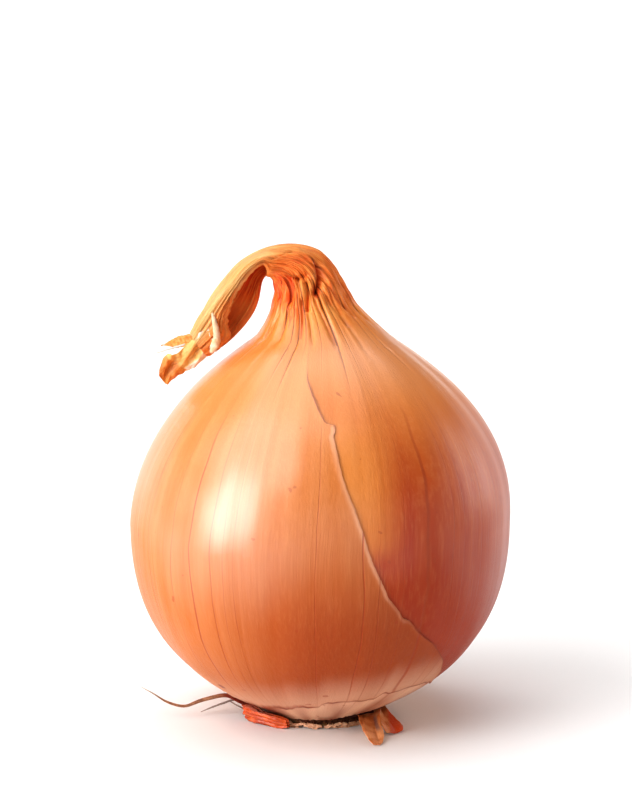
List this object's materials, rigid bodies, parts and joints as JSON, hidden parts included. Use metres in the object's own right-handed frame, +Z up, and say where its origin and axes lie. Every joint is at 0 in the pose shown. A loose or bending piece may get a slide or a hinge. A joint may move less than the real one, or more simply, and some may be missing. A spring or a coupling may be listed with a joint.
{
  "type": "onion",
  "caption": "Brown onion with papery skin, a bent withered neck, torn skin ends at the base and a few dry roots, standing on its root plate.",
  "frame": {"origin": "middle of the root plate's resting face", "axes": "+Z up along the bulb's axis; the open edge of the outer skin faces -Y; the neck is bent over towards -X"},
  "size_m": [0.0799, 0.0789, 0.0998],
  "materials": {
    "inner_skin": "satin",
    "outer_skin": "satin",
    "dry_leaf": "matte",
    "torn_skin": "satin",
    "root_plate": "matte",
    "dry_root": "matte"
  },
  "bodies": {
    "root": {"bulb": "inner_skin", "outer_skin": "outer_skin", "neck": "dry_leaf", "leaf_tip_upper": "dry_leaf", "leaf_tip_lower": "dry_leaf", "root_plate": "root_plate", "root_long": "dry_root", "root_middle": "dry_root", "root_short": "dry_root", "skin_rag_left": "torn_skin", "skin_tab_front": "torn_skin", "skin_tab_rear": "torn_skin"}
  },
  "joints": []
}
